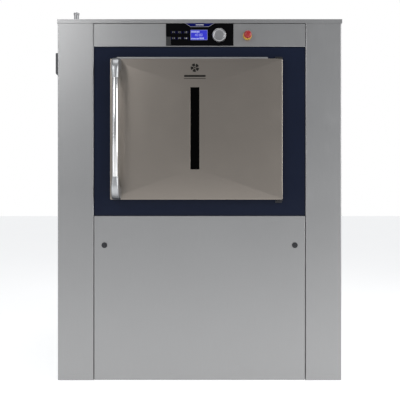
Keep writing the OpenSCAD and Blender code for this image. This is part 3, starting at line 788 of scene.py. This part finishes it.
def make_drum_shell():
    """Perforated sheet rolled into the drum, with plain margins and a rolled front ring."""
    low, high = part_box("drum_shell")
    centre = middle("drum_shell")
    radius = (high.x - low.x) / 2 - 1 * MM
    mouth = 461 * MM
    around, along = 72, 22
    plain = 30 * MM
    hole = 4.5 * MM
    shape = Shape()
    mesh = shape.mesh
    front, back = low.y + plain, high.y - plain
    depth = (back - front) / along

    def spot(turn, y, r=radius):
        return (centre.x + r * math.cos(turn), y, centre.z + r * math.sin(turn))

    def hoop(y, r=radius):
        return [mesh.verts.new(spot(2 * math.pi * i / around, y, r)) for i in range(around)]

    def skin(near, far):
        for i in range(around):
            k = (i + 1) % around
            mesh.faces.new((near[i], near[k], far[k], far[i]))

    grid = [hoop(front + j * depth) for j in range(along + 1)]
    for j in range(along):
        for i in range(around):
            k = (i + 1) % around
            corners = [grid[j][k], grid[j + 1][k], grid[j + 1][i], grid[j][i]]
            turn = 2 * math.pi * (i + 0.5) / around
            y = front + (j + 0.5) * depth
            ring = []
            for step in range(8):
                angle = math.radians(45 * step - 67.5)
                point = spot(turn + hole * math.cos(angle) / radius, y + hole * math.sin(angle))
                ring.append(mesh.verts.new(point))
            for side in range(4):
                near, far = corners[side], corners[(side + 1) % 4]
                mesh.faces.new((near, far, ring[(2 * side + 2) % 8], ring[(2 * side + 1) % 8]))
            for side in (1, 2, 3, 0):
                mesh.faces.new((corners[side], ring[(2 * side + 1) % 8], ring[2 * side]))
    skin(grid[-1], hoop(high.y - 1 * MM))
    previous = grid[0]
    rolled_rim = [
        (low.y + 6 * MM, radius), (low.y + 2.5 * MM, radius - 1.5 * MM), (low.y + 1 * MM, radius - 5 * MM),
        (low.y + 1 * MM, mouth + 6 * MM), (low.y + 2.5 * MM, mouth + 2 * MM), (low.y + 6 * MM, mouth),
    ]
    for y, r in rolled_rim:
        ring = hoop(y, r)
        skin(previous, ring)
        previous = ring
    shape.finish("drum_sheet", "drum", "drum_steel", ["drum_shell"], thickness=1.6 * MM, sharp=40)


def screw(shape, x, y, z, facing, size=9 * MM, tall=1.8 * MM):
    """Adds a low domed screw head."""
    r = size / 2
    profile = [(r, 0), (r, tall * 0.3), (r * 0.8, tall * 0.75), (r * 0.45, tall), (0.2 * MM, tall)]
    shape.lathe((x, y, z), profile, facing, 20)


# Outer face of the rear panel
rear_face = 600 * MM


def make_panel_screws():
    """Fixing screws of the rear panel, of the exhaust flange and of the side panels."""
    low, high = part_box("rear_panel")
    inset = 16 * MM
    shape = Shape()
    for z in (60, 420, 780, 1140, 1500, 1745):
        for x in (low.x + inset, high.x - inset):
            screw(shape, x, rear_face, z * MM, "+Y")
    for x in (-500, -250, 0, 250, 500):
        for z in (30, 1765):
            screw(shape, x * MM, rear_face, z * MM, "+Y")
    spigot = middle("exhaust_spigot")
    flange_screws, flange_r = 8, 116 * MM
    for step in range(flange_screws):
        turn = 2 * math.pi * (step + 0.5) / flange_screws
        x, z = spigot.x + flange_r * math.cos(turn), spigot.z + flange_r * math.sin(turn)
        screw(shape, x, rear_face, z, "+Y", 8 * MM)
    shape.finish("rear_screws", "root", "shaft_steel")
    low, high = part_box("side_panels")
    shape = Shape()
    for y in (-520, -260, 0, 260, 560):
        for z in (40, 1750):
            screw(shape, high.x, y * MM, z * MM, "+X", 9 * MM, 1.6 * MM)
            screw(shape, low.x, y * MM, z * MM, "-X", 9 * MM, 1.6 * MM)
    shape.finish("side_screws", "root", "shaft_steel")


def make_rating_plate():
    """Blank riveted plate on the rear panel, with plain bars where data would be."""
    left, right, bottom, top = -620 * MM, -500 * MM, 1300 * MM, 1380 * MM
    plate_face = rear_face + 1 * MM
    inset = 7 * MM
    shape = Shape().prism(round_rectangle(left, bottom, right, top, 4 * MM, 4), rear_face, plate_face)
    shape.finish("rating_plate", "root", "trim_silver")
    shape = Shape()
    for x in (left + inset, right - inset):
        for z in (bottom + inset, top - inset):
            screw(shape, x, plate_face, z, "+Y", 4 * MM, 1 * MM)
    bar_start = left + 20 * MM
    for row in range(5):
        z = bottom + (22 + row * 10) * MM
        length = (80 if row % 2 else 60) * MM
        low = (bar_start, plate_face - 0.1 * MM, z)
        shape.block(low, (bar_start + length, plate_face + 0.3 * MM, z + 2 * MM))
    shape.finish("rating_marks", "root", "shaft_steel")


def make_motor_fins():
    """Lengthwise cooling ribs round both motors, left out under their terminal boxes."""
    motors = (
        ("fan_motor", "X", 110 * MM, (14 * MM, 138 * MM)),
        ("gear_motor", "Y", 100 * MM, (32 * MM, 163 * MM)),
    )
    ribs, rib_r = 36, 89 * MM
    tall, thick = 5 * MM, 1.2 * MM
    bare_half_angle = 0.72
    for node, along, axis_height, (start, end) in motors:
        low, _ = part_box(node)
        centre = middle(node)
        half_length = (end - start) / 2
        shape = Shape()
        for rib in range(ribs):
            turn = 2 * math.pi * rib / ribs
            if abs(turn - math.pi / 2) < bare_half_angle:
                continue
            out, up = rib_r * math.cos(turn), rib_r * math.sin(turn)
            if along == "X":
                spot = Vector((low.x + (start + end) / 2, centre.y + out, low.z + axis_height + up))
                half = Vector((half_length, tall, thick))
                place = Matrix.Rotation(turn, 4, "X")
            else:
                spot = Vector((centre.x + out, low.y + (start + end) / 2, low.z + axis_height + up))
                half = Vector((tall, half_length, thick))
                place = Matrix.Rotation(-turn, 4, "Y")
            shape.block(spot - half, spot + half, place)
        shape.finish(node + "_ribs", "root", "machine_blue")


make_drum_shell()
make_panel_screws()
make_rating_plate()
make_motor_fins()


# ---- Floor ----

def make_floor():
    """Pale floor that glows a little, so that it meets the white behind it softly."""
    f = Finish("floor", {"Roughness": 0.6, "Emission Strength": 0.62})
    f.feed("Base Color", f.blend(f.noise(1.5, 3), (0.86, 0.86, 0.86, 1), (0.90, 0.90, 0.90, 1)))
    f.feed("Emission Color", f.blend(f.noise(0.8, 2), (0.95, 0.96, 0.97, 1), (1.0, 1.0, 1.0, 1)))
    bpy.ops.mesh.primitive_plane_add(size=60, location=(0, 0, -0.0005))
    floor = bpy.context.object
    floor.name = "floor"
    floor.data.materials.append(f.material)


make_floor()
